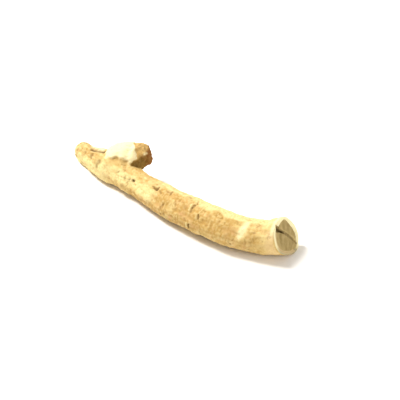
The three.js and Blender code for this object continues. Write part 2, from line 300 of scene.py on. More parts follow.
STROKES = [
    {"from": (32.1, 58), "to": (36.7, 51), "width": 0.4, "height": -0.1, "dark": 0.3},
    {"from": (48.8, 19), "to": (51.0, 21), "width": 0.65, "height": -0.3, "dark": 0.45},
    {"from": (52.0, 5), "to": (51.7, 23), "width": 0.75, "height": -0.35, "dark": 0.6},
    {"from": (53.3, 20), "to": (55.6, 30), "width": 0.6, "height": -0.2, "dark": 0.3},
    {"from": (56.3, 8), "to": (58.6, 10), "width": 0.6, "height": -0.15, "dark": 0.25},
    {"from": (59.2, 16), "to": (59.0, -6), "width": 0.75, "height": -0.35, "dark": 0.45},
    {"from": (71.8, -17), "to": (72.4, 4), "width": 0.6, "height": -0.25, "dark": 0.3},
    {"from": (72.0, 8), "to": (71.8, 24), "width": 0.65, "height": -0.3, "dark": 0.45},
    {"from": (71.8, 24), "to": (72.2, 46), "width": 0.6, "height": -0.25, "dark": 0.3},
    {"from": (70.8, 10), "to": (71.0, 42), "width": 0.7, "height": 0.2, "dust_and_highlight": 0.7},
    {"from": (75.8, 40), "to": (76.5, 57), "width": 0.6, "height": -0.4, "dark": 0.7},
    {"from": (72.8, 86), "to": (72.8, 103), "width": 0.65, "height": -0.45, "dark": 0.85},
    {"from": (71.7, 85), "to": (71.7, 104), "width": 0.6, "height": 0.18, "dust_and_highlight": 0.9},
    {"from": (94.8, 6), "to": (93.5, 70), "width": 1.8, "height": -0.05, "dust_and_highlight": 1.0, "pale": 0.7},
    {"from": (12.0, 22), "to": (13.4, 50), "width": 1.3, "height": -0.25, "dark": 0.3, "brown": 0.4},
    {"from": (63.6, 27), "to": (64.8, 46), "width": 0.7, "height": -0.15, "brown": 0.35},
]
# The width of a stroke's ends, as a share of its width
STROKE_END = 0.5
# The fold beside the thin end, darkened as painted shade in the fold, and the ridge behind it, painted
# pale as a highlight, each along a bent line in space
SEAMS = [
    {
        "line": [(-45.7, 1.8, 9.0), (-42.3, 1.8, 9.7), (-37.6, 0.4, 11.7)],
        "width": 1.4,
        "height": -0.9,
        "dark": 0.95,
    },
    {
        "line": [(-47.4, 4.3, 8.1), (-44.5, 4.3, 8.8), (-39.6, 3.0, 10.3)],
        "width": 1.6,
        "height": 0.35,
        "pale": 1.0,
    },
]
# Marks on the broken end of the stub, each at a point in space with its reach
STUB_SPOTS = [
    {"at": (-20.9, 6.8, 14.0), "size": 1.25, "height": 0.5, "pale": 1.0},
    {"at": (-21.3, 8.2, 13.4), "size": 0.9, "height": 0.4, "pale": 0.9},
    {"at": (-20.6, 5.0, 12.0), "size": 1.9, "height": -0.6, "dark": 0.2},
    {"at": (-23.7, 8.0, 17.1), "size": 0.8, "height": -0.2, "dark": 0.45},
    {"at": (-24.2, 5.8, 16.9), "size": 0.7, "height": -0.15, "dark": 0.35},
    {"at": (-21.9, 8.6, 15.6), "size": 0.9, "height": -0.25, "dark": 0.45},
    # Torn wood colour and dark carried down into the crotch under the broken end, partly as painted
    # shadow under the stub
    {"at": (-21.4, 1.6, 10.9), "size": 1.9, "height": -0.3, "torn": 1.0, "dark": 0.3},
    {"at": (-20.6, 3.8, 9.8), "size": 2.6, "torn": 1.0},
]
# Where the stub's bark ends in a torn edge: the angle round the stub and the distance along it
TORN_EDGE = [(-180, 19.0), (-22, 19.3), (19, 21.4), (64, 21.7), (86, 19.6), (130, 19.0), (180, 19.0)]
# The lower edge of the lobe on top of the stub, which is raised a little and painted pale as a
# highlight: x and height
LOBE_EDGE = [(-36.8, 13.0), (-34.2, 11.6), (-30.5, 12.5), (-26.5, 13.3), (-22.5, 12.0)]
LOBE_RISE_AND_HIGHLIGHT = {"height": 0.3, "pale": 0.94}
# The crease under that edge, painted brown as the shadow under the lobe, from one x to another
LOBE_CREASE_AND_SHADOW = {"from": -31, "to": -23.5, "under": 0.5, "width": 1.0, "height": -0.3, "brown": 0.45}
CREASE_SOFTNESS = 1
COLOUR_SHARES = ("dark", "dust_and_highlight", "pale", "tan", "brown", "pink", "torn")

# Fine dark lines on the cut face, across and up
CUT_LINES = [
    {"from": (0.4, 5.3), "to": (1.1, 3.0), "width": 0.4, "dark": 0.3},
    {"from": (-2.3, 5.7), "to": (-1.9, 3.6), "width": 0.8, "dark": 0.14},
    {"from": (3.4, -3.5), "to": (5.2, 0.0), "width": 0.5, "dark": 0.1},
    {"from": (-1.5, -6.0), "to": (-3.8, 0.2), "width": 0.5, "dark": 0.1},
]
# The cut wood's fibres: how often they change round the point they spread from and away from it
FIBRES = [
    {"turn": 7, "away": 0.16, "height": 0.8, "seed": 41},
    {"turn": 21, "away": 0.4, "height": 0.22, "seed": 42},
]
FIBRE_SHIFT = 300
# Where the fibres below the crack and above it spread from, across and up
FANS = {"below": (0.3, -10.5), "above": (1.0, -5.0)}
PALE_LINE = {"over_crack": 0.85, "width": 0.5, "height": 0.9}

BARK_COLOURS = {
    "straw": (0.70, 0.525, 0.205),
    "ochre": (0.46, 0.275, 0.072),
    # Dust, also used as painted highlight on the pale bands of the bark
    "dust_and_highlight": (0.77, 0.64, 0.30),
    "pale": (0.82, 0.72, 0.42),
    "brown": (0.34, 0.20, 0.055),
    "rose": (0.64, 0.38, 0.16),
    "dark": (0.11, 0.065, 0.02),
    "pink": (0.72, 0.40, 0.22),
}
# How far a tan mark carries the bark towards ochre, and how strongly the bark's rim at the cut is
# painted pale as a highlight on its upper side
TAN_SHIFT = 0.58
RIM_HIGHLIGHT = 0.85
WOOD_COLOURS = {"pale": (0.47, 0.35, 0.145), "deep": (0.26, 0.185, 0.06)}
# The broken end's torn wood; the tan of its upper part is brightened as painted light
TORN_COLOURS = {
    "top": (0.56, 0.36, 0.125),
    "tan": (0.74, 0.48, 0.165),
    "olive": (0.22, 0.12, 0.014),
    "red": (0.24, 0.09, 0.013),
}
# How uneven the borders of the colours on the broken end are
TORN_BORDERS = {"upper": 0.4, "red": 2.2}
# The cut lip: lit, dull and low are lit and shaded copies of one colour, with painted highlight on the
# lit side and painted shade on the low side. Inner is the inner bark beside the wood, its own colour,
# kept to the near side, where it also stands in as painted shade
LIP_COLOURS_LIT_AND_SHADED = {
    "lit": (0.88, 0.80, 0.48),
    "dull": (0.72, 0.62, 0.32),
    "inner": (0.56, 0.42, 0.21),
    "low": (0.38, 0.33, 0.19),
}

# Fine noise in the material: its size and detail, its limits, and the shares that these become
GRAINS = {
    "patches": {"size": 1.3, "detail": 4, "rough": 0.65, "limits": (0.38, 0.66), "shares": (0, 0.5)},
    "rose": {"size": 3.5, "shift": 110, "limits": (0.5, 0.7), "shares": (0, 0.5)},
    "dust_and_highlight": {"size": 0.9, "detail": 3, "shift": 20, "limits": (0.3, 0.6), "shares": (0.4, 1)},
    "flecks": {"size": 0.6, "shift": 50, "limits": (0.62, 0.72), "shares": (0, 0.5)},
    "torn": {
        "size": 0.9, "detail": 3, "rough": 0.6, "shift": 130, "limits": (0.45, 0.7), "shares": (0, 0.45),
    },
    "wood": {"size": 2.4, "detail": 3, "shift": 90, "limits": (0.35, 0.65), "shares": (0, 0.4)},
    "roughness": {"size": 0.8, "shift": 30, "limits": (0.3, 0.7), "shares": (0.72, 0.92)},
}
BUMP = {"strength": 0.6, "height": 0.1}
BUMP_GRAIN = {"size": 0.4, "detail": 4, "rough": 0.6}
# Numbers on the points: their limits, and the shares that these become in the material
POINT_SHARES = {
    "patches": {"number": "tone", "limits": (-0.5, 0.5), "shares": (0, 0.5)},
    "worn": {"number": "hollow", "limits": (0.0, -0.8), "shares": (0, 0.4)},
    # Painted shade: brown laid into the hollows of the relief
    "painted_hollow_shade": {"number": "hollow", "limits": (0.1, 0.9), "shares": (0, 0.55)},
    "fibres": {"number": "ray", "limits": (-0.6, 0.6), "shares": (0, 0.6)},
}
BARK_SHINE = 0.3

CAMERA = {
    "azimuth": 37.69, "elevation": 36.0, "distance": 500, "lens": 108.7, "sensor": 36, "sees_to": 10000,
}
LOOK_AT = (5.515, 10.51, 0)
LIGHT_DISTANCE = 1000
KEY_LIGHT = {"towards": (-0.60, -0.05, 0.80), "size": 380, "watts": 14.8}
FACE_LIGHT = {"towards": (0.90, 0.0, 0.45), "size": 600, "watts": 3.4}
WORLD_COLOUR = (1.0, 0.93, 0.84)
WORLD_STRENGTH = 0.56
FLOOR_SIZE = 4000
FLOOR_COLOUR = (0.92, 0.91, 0.89)
FLOOR_ROUGHNESS = 0.9
FLOOR_SHINE = 0.1

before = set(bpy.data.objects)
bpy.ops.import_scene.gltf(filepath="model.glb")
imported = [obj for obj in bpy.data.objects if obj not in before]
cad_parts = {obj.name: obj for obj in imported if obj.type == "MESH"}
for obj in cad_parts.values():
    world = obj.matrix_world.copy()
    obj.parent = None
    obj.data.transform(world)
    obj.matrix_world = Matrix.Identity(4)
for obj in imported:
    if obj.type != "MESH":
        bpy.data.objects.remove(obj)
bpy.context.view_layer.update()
scene = bpy.context.scene


def unit(vectors):
    """Each row of vectors at length 1."""
    return vectors / np.linalg.norm(vectors, axis=-1, keepdims=True)


def rise(value, low, high):
    """0 at low and on its side, 1 at high and on its side, and a soft step between."""
    t = np.clip((value - low) / (high - low), 0, 1)
    return t * t * (3 - 2 * t)


def past(value, name):
    """How far a value is past a named soft limit, from 0 to 1."""
    return rise(value, *LIMITS[name])


def span(value, start, end, softness):
    """1 between start and end and 0 outside them, with soft steps."""
    started = rise(value, start - softness, start + softness)
    return started * rise(value, end + softness, end - softness)


def bell(distance, width):
    """1 at distance 0, falling smoothly to about 0.14 at one width."""
    return np.exp(-2 * (distance / width) ** 2)


def short_way(turn):
    """A turn in degrees taken the short way, from -180 to 180."""
    return (turn + 180) % 360 - 180


def smooth_noise(points, seed):
    """Gradient noise from about -1 to 1 at each point, with features about one unit wide."""
    random = np.random.default_rng(seed)
    last = NOISE_TABLE - 1
    order = random.permutation(NOISE_TABLE)
    gradients = unit(random.normal(size=(NOISE_TABLE, 3)))
    cell = np.floor(points).astype(int)
    within = points - cell
    fade = within ** 3 * (within * (within * 6 - 15) + 10)
    total = np.zeros(len(points))
    for corner in itertools.product((0, 1), repeat=3):
        x, y, z = ((cell + corner) & last).T
        gradient = gradients[order[(order[(order[x] + y) & last] + z) & last]]
        weight = np.where(corner, fade, 1 - fade).prod(axis=1)
        total += weight * (gradient * (within - corner)).sum(axis=1)
    return total * NOISE_GAIN


def cloud(points, name):
    """Named noise in space, at its height."""
    facts = CLOUDS[name]
    return facts["height"] * smooth_noise(points / facts["size"], facts["seed"])


class MiddleLine:
    """A smooth curve through stations of x, y, z and radius."""

    def __init__(self, stations):
        rows = np.array(stations, float)
        before = np.vstack([2 * rows[0] - rows[1], rows])
        after = np.vstack([rows, 2 * rows[-1] - rows[-2]])
        t = np.arange(STEPS_BETWEEN_STATIONS)[:, None] / STEPS_BETWEEN_STATIONS
        parts = []
        for i in range(len(rows) - 1):
            a, b, c, d = before[i], rows[i], rows[i + 1], after[i + 2]
            bend = (2 * a - 5 * b + 4 * c - d) * t ** 2
            twist = (3 * b - a - 3 * c + d) * t ** 3
            parts.append(0.5 * (2 * b + (c - a) * t + bend + twist))
        path = np.vstack(parts + [rows[-1:]])
        self.points = path[:, :3]
        self.radii = path[:, 3]
        steps = np.linalg.norm(np.diff(self.points, axis=0), axis=1)
        self.along = np.concatenate([[0], np.cumsum(steps)])
        self.tangents = unit(np.gradient(self.points, axis=0))
        upright = np.array([0.0, 0.0, 1.0])
        self.ups = unit(upright - self.tangents * (self.tangents @ upright)[:, None])
        self.sides = np.cross(self.tangents, self.ups)

    def locate(self, points):
        """Where each point is: along the line, angle round it, reach and lift from it, radius there."""
        tree = KDTree(len(self.points))
        for i, point in enumerate(self.points):
            tree.insert(point, i)
        tree.balance()
        nearest = np.array([tree.find(point)[1] for point in points])
        offset = points - self.points[nearest]
        forward = (offset * self.tangents[nearest]).sum(axis=1)
        side = (offset * self.sides[nearest]).sum(axis=1)
        up = (offset * self.ups[nearest]).sum(axis=1)
        return {
            "along": self.along[nearest] + forward,
            "angle": np.degrees(np.arctan2(side, up)),
            "reach": np.hypot(side, up),
            "lift": up,
            "radius": self.radii[nearest],
        }


def skin(place):
    """Coordinates in which noise runs round the root without a seam: along it, and two round it."""
    turn = np.radians(place["angle"])
    return np.stack([place["along"], SKIN_RADIUS * np.sin(turn), SKIN_RADIUS * np.cos(turn)], axis=1)


def layer(place, facts):
    """Noise over the bark at its height, with one size along the root and one round it."""
    size = (facts["along"], facts["round"], facts["round"])
    return facts["height"] * smooth_noise(skin(place) / size + facts["seed"], facts["seed"])


def bark_noise(where, facts):
    """A layer of noise that follows the root, and on the stub follows the stub."""
    share = where["stub_share"]
    return layer(where["root"], facts) * (1 - share) + layer(where["stub"], facts) * share


def round_from(place, angle):
    """The distance round the root from an angle, in millimetres, positive towards larger angles."""
    return np.radians(short_way(place["angle"] - angle)) * place["radius"]


def spot(place, at, size):
    """1 in the middle of an oval spot and 0 well outside it; size is its half length and half width."""
    along = (place["along"] - at[0]) / size[0]
    across = round_from(place, at[1]) / size[1]
    return bell(np.hypot(along, across), 1)


def segment_gap(x, y, to_x, to_y):
    """The distance from a straight segment that starts at 0, and the share of it passed there."""
    t = np.clip((x * to_x + y * to_y) / (to_x ** 2 + to_y ** 2), 0, 1)
    return np.hypot(x - t * to_x, y - t * to_y), t


def stroke(place, start, end, width):
    """1 on a stroke over the bark and 0 well beside it; the stroke is thinner towards its ends."""
    to_y = math.radians(end[1] - start[1]) * place["radius"]
    gap, t = segment_gap(place["along"] - start[0], round_from(place, start[1]), end[0] - start[0], to_y)
    swell = STROKE_END + (1 - STROKE_END) * np.sqrt(4 * t * (1 - t))
    return bell(gap, width * swell)


def zone(place, start, end):
    """1 inside an area of the bark from one place to another, with soft uneven edges."""
    along = place["along"] + layer(place, ZONE_SHIFTS["along"])
    angle = place["angle"] + layer(place, ZONE_SHIFTS["angle"])
    middle = (start[1] + end[1]) / 2
    half = (end[1] - start[1]) / 2
    inside = span(along, start[0], end[0], ZONE_SOFTNESS["along"])
    soft = ZONE_SOFTNESS["angle"]
    return inside * rise(half - np.abs(short_way(angle - middle)), -soft, soft)


def near(points, middle, radius):
    """1 at a point in space, and 0 well away from it."""
    return bell(np.linalg.norm(points - np.array(middle), axis=1), radius)


def beside_line(points, corners, width):
    """1 on a bent line in space, and 0 well away from it."""
    gap = np.full(len(points), np.inf)
    for start, end in zip(np.array(corners), np.array(corners)[1:]):
        way = end - start
        t = np.clip((points - start) @ way / (way @ way), 0, 1)
        gap = np.minimum(gap, np.linalg.norm(points - start - t[:, None] * way, axis=1))
    return bell(gap, width)


def fine_copy(node, name):
    """A new object with the surface of a CAD node, remade in small even faces."""
    piece = bpy.data.objects.new(name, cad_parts[node].data.copy())
    scene.collection.objects.link(piece)
    remesh = piece.modifiers.new("Remesh", "REMESH")
    remesh.mode = "VOXEL"
    remesh.voxel_size = VOXEL * MM
    ready = piece.evaluated_get(bpy.context.evaluated_depsgraph_get())
    piece.data = bpy.data.meshes.new_from_object(ready)
    piece.data.name = name
    piece.modifiers.clear()
    piece.data.materials.clear()
    split_near_cut(piece.data)
    piece.data.shade_smooth()
    return piece


def split_near_cut(mesh):
    """Splits the faces on and just behind the cut face in four, for its fibres and crack."""
    shape = bmesh.new()
    shape.from_mesh(mesh)
    middle = Vector(CUT_MIDDLE) * MM
    out = Vector(CUT_AXES[2])
    close = [face for face in shape.faces
             if (face.calc_center_median() - middle).dot(out) > -FINE_BEHIND_CUT * MM]
    edges = list({edge for face in close for edge in face.edges})
    bmesh.ops.subdivide_edges(shape, edges=edges, cuts=1, use_grid_fill=True)
    shape.to_mesh(mesh)
    shape.free()


def read(items, name, width, kind):
    """One row of numbers for each of a mesh's items."""
    values = np.empty(len(items) * width, kind)
    items.foreach_get(name, values)
    return values.reshape(-1, width)


def read_points(mesh):
    """The mesh's points, in millimetres."""
    return read(mesh.vertices, "co", 3, float) / MM


def read_normals(mesh):
    """The way that the surface looks at each point."""
    return read(mesh.vertex_normals, "vector", 3, np.float32).astype(float)


def write_points(mesh, points):
    """Moves the mesh's points, which are given in millimetres."""
    mesh.vertices.foreach_set("co", (points * MM).ravel())
    mesh.update()


def store(mesh, name, values):
    """Keeps one number for each point of the mesh, for its material to read."""
    attribute = mesh.attributes.new(name, "FLOAT", "POINT")
    attribute.data.foreach_set("value", values.astype(np.float32))


def neighbour_mean(values, edges):
    """The mean of each point's neighbours."""
    a, b = edges.T
    count = np.bincount(edges.ravel(), minlength=len(values))
    columns = []
    for column in values.T:
        total = np.bincount(a, column[b], len(values)) + np.bincount(b, column[a], len(values))
        columns.append(total / count)
    return np.stack(columns, axis=1)


def smoothed(points, edges, strength):
    """Points with small steps smoothed away and the volume kept; strength is 0 to 1 for each point."""
    for _ in range(SMOOTHING["rounds"]):
        points = points + SMOOTHING["pull"] * strength * (neighbour_mean(points, edges) - points)
        points = points - SMOOTHING["push"] * strength * (neighbour_mean(points, edges) - points)
    return points


def rounded(points, edges, pull, rounds):
    """Points drawn towards their neighbours, which rounds an edge."""
    for _ in range(rounds):
        points = points + pull * (neighbour_mean(points, edges) - points)
    return points


def spread(values, edges, rounds):
    """Values blurred over the surface."""
    values = values[:, None]
    for _ in range(rounds):
        values = neighbour_mean(values, edges)
    return values[:, 0]


def cut_coordinates(points):
    """Across, up and out of the cut face, for each point."""
    return (points - np.array(CUT_MIDDLE)) @ np.array(CUT_AXES).T


def crack_gap(face):
    """The distance from the crack's middle line over the cut face, and the crack's width there."""
    gap = np.full(len(face), np.inf)
    width = np.zeros(len(face))
    for (x0, y0, w0), (x1, y1, w1) in zip(CRACK, CRACK[1:]):
        here, t = segment_gap(face[:, 0] - x0, face[:, 1] - y0, x1 - x0, y1 - y0)
        closer = here < gap
        gap[closer] = here[closer]
        width[closer] = (w0 + (w1 - w0) * t)[closer]
    return gap, width


def crack_share(face):
    """1 in the drying crack and 0 beside it, with an uneven edge."""
    gap, width = crack_gap(face)
    beside = np.maximum(gap + cloud(face, "crack_edge") - CRACK_CORE * width, 0)
    crack = bell(beside, CRACK_SOFTNESS) * past(face[:, 2], "crack_bottom")
    return crack * past(face[:, 0], "crack_start")


def wood_share(face, normals, lip):
    """1 on the cut wood, and 0 on the bark and its lip."""
    radial = unit(face[:, :2]) @ np.array(CUT_AXES[:2])
    aside = (normals * radial).sum(axis=1)
    facing = past(normals @ np.array(CUT_AXES[2]), "looks_out") * past(aside, "looks_aside")
    return past(face[:, 2], "wood") * facing * (1 - lip)


def torn_share(points, root_gap, on_stub):
    """1 on the broken end of the stub, and 0 on the bark."""
    edge = np.interp(on_stub["angle"], *np.array(TORN_EDGE).T)
    over_edge = past(on_stub["along"] + cloud(points, "torn_edge") - edge, "past_torn_edge")
    return over_edge * past(root_gap, "clear_of_root") * past(on_stub["reach"], "beside_stub")


def surface(points, normals):
    """Where each point lies: on the root or the stub, the cut face, the crack or the broken end."""
    on_root = MiddleLine(ROOT_LINE).locate(points)
    on_stub = MiddleLine(STUB_LINE).locate(points)
    root_gap = on_root["reach"] - on_root["radius"]
    stub_gap = on_stub["reach"] - on_stub["radius"]
    face = cut_coordinates(points)
    lip = past(face[:, 2], "lip")
    wood = wood_share(face, normals, lip)
    crack = crack_share(face)
    return {
        "root": on_root,
        "stub": on_stub,
        "stub_share": past(root_gap - stub_gap, "nearer_stub") * past(on_stub["along"], "out_of_root"),
        "face": face,
        "lip": lip,
        "wood": wood,
        "crack": crack,
        "bare": np.clip(wood + crack, 0, 1),
        "torn": torn_share(points, root_gap, on_stub),
    }


def crack_amount(where, amounts):
    """An amount over the crack: the first in its wide mouth, the second where it is a thin line."""
    mouth, line = amounts
    thin = past(where["face"][:, 0], "crack_thins")
    return where["crack"] * (mouth + (line - mouth) * thin)


def rim_share(where):
    """1 on the bark just behind its cut lip, and 0 elsewhere."""
    return past(where["face"][:, 2], "rim") * (1 - where["bare"]) * (1 - where["lip"])


def bark_height(where):
    """How far the bark's own relief stands out of the smooth surface."""
    height = sum(bark_noise(where, facts) for facts in BARK_RELIEF)
    wrinkles = bark_noise(where, CROSS_WRINKLES)
    creases = -past(np.abs(wrinkles), "creases")
    patches = past(bark_noise(where, WRINKLE_PATCHES), "wrinkle_patches")
    wrinkled = np.full(len(height), WRINKLED_ELSEWHERE)
    for start, end, amount in WRINKLED_STRETCHES:
        inside = span(where["root"]["along"], start, end, STRETCH_SOFTNESS)
        wrinkled = np.maximum(wrinkled, amount * inside)
    return height + WRINKLE_HEIGHT * wrinkled * patches * (WRINKLE_SWELL * wrinkles + creases)


def warped(place):
    """The place with small random shifts, which make the outline of a mark uneven."""
    shift_along = sum(layer(place, facts) for facts in MARK_SHIFTS["along"])
    shift_round = sum(layer(place, facts) for facts in MARK_SHIFTS["round"])
    moved = dict(place)
    moved["along"] = place["along"] + shift_along
    moved["angle"] = place["angle"] + np.degrees(shift_round / place["radius"])
    return moved


def scattered_dashes(length):
    """Short cracks that run mostly round the root, at random places."""
    random = np.random.default_rng(DASHES["seed"])
    dashes = []
    for _ in range(DASHES["count"]):
        along = random.uniform(DASHES["clear_of_end"], length)
        angle = random.uniform(-180, 180)
        reach = random.uniform(*DASHES["length"])
        lean = random.normal(0, DASHES["lean"])
        turn = math.degrees(reach * math.cos(lean) / SKIN_RADIUS)
        strength = random.uniform(*DASHES["strength"])
        dashes.append({
            "from": (along, angle),
            "to": (along + reach * math.sin(lean), angle + turn),
            "width": random.uniform(*DASHES["width"]),
            "height": DASHES["height"] * strength,
            "dark": DASHES["dark"] * strength,
        })
    return dashes


def scattered_scars(length):
    """Rootlet scars at random places on the back and the underside, each a low mound with a pit."""
    random = np.random.default_rng(SCARS["seed"])
    first, last = SCARS["clear_of_ends"]
    scars = []
    for _ in range(SCARS["count"]):
        at = (random.uniform(first, length - last), random.uniform(*SCARS["angle"]))
        size = random.uniform(*SCARS["size"])
        for part in SCARS["parts"]:
            long, wide = part["size"]
            scars.append({**part, "at": at, "size": (long * size, wide * size)})
    return scars


def scattered_blotches(length):
    """Soft spots of brown or dust at random places, with more of them towards the thin end."""
    random = np.random.default_rng(BLOTCHES["seed"])
    blotches = []
    for i in range(BLOTCHES["count"]):
        at = (length * random.uniform(0, 1) ** BLOTCHES["crowding"], random.uniform(-180, 180))
        size = random.uniform(*BLOTCHES["size"])
        blotches.append({
            "at": at,
            "size": (size, BLOTCHES["narrowness"] * size),
            "height": random.normal(0, BLOTCHES["height"]),
            ("brown", "dust_and_highlight")[i % 2]: random.uniform(*BLOTCHES["share"]),
        })
    return blotches


def lobe_marks(points, where):
    """The lobe on top of the stub, painted pale as a highlight, and the crease along its lower edge,
    painted brown as the shadow under it.
    """
    x = points[:, 0]
    above = points[:, 2] - np.interp(x, *np.array(LOBE_EDGE).T) + cloud(points, "lobe_edge")
    on_top = past(above, "lobe") * past(x, "lobe_end") * (1 - where["torn"])
    beside = bell(above + LOBE_CREASE_AND_SHADOW["under"], LOBE_CREASE_AND_SHADOW["width"])
    inside = span(x, LOBE_CREASE_AND_SHADOW["from"], LOBE_CREASE_AND_SHADOW["to"], CREASE_SOFTNESS)
    return [(LOBE_RISE_AND_HIGHLIGHT, on_top), (LOBE_CREASE_AND_SHADOW, beside * inside)]


def marks(points, where):
    """The height and the colour shares of all the marks."""
    total = {name: np.zeros(len(points)) for name in ("height",) + COLOUR_SHARES}
    place = warped(where["root"])
    length = where["root"]["along"].max()
    spots = SPOTS + scattered_scars(length) + scattered_blotches(length)
    strokes = STROKES + scattered_dashes(length)
    on_root = (1 - where["stub_share"]) * past(where["face"][:, 2], "behind_lip")
    shaped = [(mark, on_root * zone(where["root"], mark["from"], mark["to"])) for mark in TONE_AND_PAINTED_LIGHT_ZONES]
    shaped += [(mark, on_root * spot(place, mark["at"], mark["size"])) for mark in spots]
    shaped += [(mark, on_root * stroke(place, mark["from"], mark["to"], mark["width"]))
               for mark in strokes]
    shaped += [(mark, near(points, mark["at"], mark["size"])) for mark in STUB_SPOTS]
    shaped += [(mark, beside_line(points, mark["line"], mark["width"])) for mark in SEAMS]
    shaped += lobe_marks(points, where)
    for mark, weight in shaped:
        total["height"] += mark.get("height", 0) * weight
        for name in COLOUR_SHARES:
            if name in mark:
                share = mark[name] * weight
                total[name] += share - total[name] * share
    return total


def fan(x, y, middle):
    """Fibres that spread from a point of the cut face, from dark to pale."""
    turn = np.arctan2(x - middle[0], y - middle[1])
    away = np.hypot(x - middle[0], y - middle[1])
    total = 0
    for facts in FIBRES:
        place = np.stack([turn * facts["turn"], away * facts["away"], np.zeros(len(x))], axis=1)
        total = total + facts["height"] * smooth_noise(place + FIBRE_SHIFT, facts["seed"])
    return total


def fibres(face):
    """Fibres of the cut wood, from dark to pale, and the pale line above the crack."""
    x, y = face[:, 0], face[:, 1]
    over_crack = y - np.interp(x, *np.array(CRACK)[:, :2].T)
    above = past(over_crack, "over_crack")
    total = (1 - above) * fan(x, y, FANS["below"]) + above * fan(x, y, FANS["above"])
    line = bell(over_crack - PALE_LINE["over_crack"], PALE_LINE["width"])
    return total + PALE_LINE["height"] * line * past(x, "pale_line")


def cut_lines(face):
    """How dark the fine lines on the cut face are."""
    total = np.zeros(len(face))
    for mark in CUT_LINES:
        x0, y0 = mark["from"]
        x1, y1 = mark["to"]
        gap, _ = segment_gap(face[:, 0] - x0, face[:, 1] - y0, x1 - x0, y1 - y0)
        total = np.maximum(total, mark["dark"] * bell(gap, mark["width"]))
    return total


def lip_shares(where, edges):
    """How much of each point is the bark's cut lip, its part painted lit, its inner part and its low
    side painted in shade.
    """
    angle = where["root"]["angle"]
    wood = where["wood"]
    from_lip = spread(where["lip"], edges, LIP_SPREAD)
    from_wood = spread(wood, edges, LIP_SPREAD)
    far_side = past(angle, "far_side_start") * past(angle, "far_side_end")
    inner = np.maximum(past(from_lip, "lip_beside_wood") * wood,
                       past(from_wood, "wood_beside_lip") * (1 - wood))
    lip = np.maximum(where["lip"], past(from_lip, "wide_lip") * far_side * wood)
    return {
        "lip": lip * (1 - where["crack"]),
        "inner": inner * past(angle, "near_side") * (1 - where["crack"]),
        "lit": past(angle, "lit_start") * past(angle, "lit_end"),
        "low": past(angle, "shaded_side_start") + past(angle, "shaded_side_end"),
    }


def broken_shares(points, where):
    """How much of each point of the broken end is tan, with its upper part painted lighter as painted
    light, pale on top and red.
    """
    lift = where["stub"]["lift"]
    uneven = cloud(points, "torn_colour")
    upper = past(lift + TORN_BORDERS["upper"] * uneven, "upper")
    return {
        "upper": upper * past(points[:, 1], "upper_side"),
        "crown": past(lift, "crown"),
        "red": past(points[:, 1] + TORN_BORDERS["red"] * uneven, "red"),
    }


def material_numbers(points, where, marked, edges):
    """The numbers that the material reads at each point, by name."""
    bare = where["bare"]
    # Painted highlight: the bark just behind the cut lip is made pale, on its upper side only
    rim = rim_share(where) * past(where["root"]["angle"], "rim_highlight_side")
    lines = cut_lines(where["face"]) * where["wood"]
    dark = marked["dark"] * (1 - bare) + crack_amount(where, CRACK_DARK) + lines
    numbers = {name: marked[name] for name in COLOUR_SHARES}
    numbers.update(lip_shares(where, edges))
    numbers.update(broken_shares(points, where))
    numbers["pale"] = np.maximum(marked["pale"], RIM_HIGHLIGHT * rim)
    numbers["dark"] = np.clip(dark, 0, 1)
    numbers["torn"] = np.clip(marked["torn"] + where["torn"], 0, 1) * (1 - marked["pale"])
    numbers["tone"] = sum(bark_noise(where, facts) for facts in TONE)
    numbers["wood"] = bare
    numbers["ray"] = fibres(where["face"])
    return numbers


def settle_surface(mesh, edges):
    """Smooths the surface, rounds its cut lip and its broken end, and finds where its points lie."""
    points = read_points(mesh)
    near_cut = past(cut_coordinates(points)[:, 2], "near_cut")
    strength = 1 - SMOOTHING["less_near_cut"] * near_cut
    points = smoothed(points, edges, strength[:, None])
    write_points(mesh, points)
    where = surface(points, read_normals(mesh))
    points = rounded(points, edges, ROUNDING_PULL * where["lip"][:, None], LIP_ROUNDS)
    broken = past(where["stub"]["along"], "broken") * where["stub_share"]
    points = rounded(points, edges, ROUNDING_PULL * broken[:, None], STUB_ROUNDS)
    write_points(mesh, points)
    return where


def relief(points, where, marked):
    """How far each point moves out of the smooth surface, or into it."""
    out = where["face"][:, 2]
    height = (bark_height(where) + marked["height"]) * (1 - where["bare"])
    height = height * (1 - CALM_NEAR_CUT * past(out, "calm"))
    height = height + FIBRE_HEIGHT * fibres(where["face"]) * where["wood"]
    height = height + where["torn"] * (cloud(points, "torn_lumps") + cloud(points, "torn_grit"))
    height = height - crack_amount(where, CRACK_DEPTH) * past(out, "crack_surface")
    return np.clip(height, *RELIEF_LIMITS) * past(points[:, 2], "off_ground")


def raise_relief(mesh, edges, where, marked):
    """Moves the points by the relief, and gives how hollow each one's place is, -1 to 1."""
    points = read_points(mesh)
    normals = read_normals(mesh)
    raised = points + normals * relief(points, where, marked)[:, None]
    raised[:, 2] = np.maximum(raised[:, 2], 0)
    write_points(mesh, raised)
    even = rounded(raised, edges, HOLLOWS["pull"], HOLLOWS["rounds"])
    return np.clip(((even - raised) * normals).sum(axis=1) / HOLLOWS["depth"], -1, 1)


def make_root():
    """The whole root as one piece, with its relief and the numbers that its material reads."""
    piece = fine_copy("root", "dried_root")
    mesh = piece.data
    edges = read(mesh.edges, "vertices", 2, np.int32)
    where = settle_surface(mesh, edges)
    points = read_points(mesh)
    marked = marks(points, where)
    numbers = material_numbers(points, where, marked, edges)
    numbers["hollow"] = raise_relief(mesh, edges, where, marked) * (1 - rim_share(where))
    for name, values in numbers.items():
        store(mesh, name, values)
    mesh.materials.append(root_material())
    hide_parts("root")
    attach(piece, "root")


def link_or_set(tree, socket, value):
    """Joins a socket to another node's output, or gives it a fixed value."""
    if isinstance(value, bpy.types.NodeSocket):
        tree.links.new(value, socket)
    else:
        socket.default_value = value


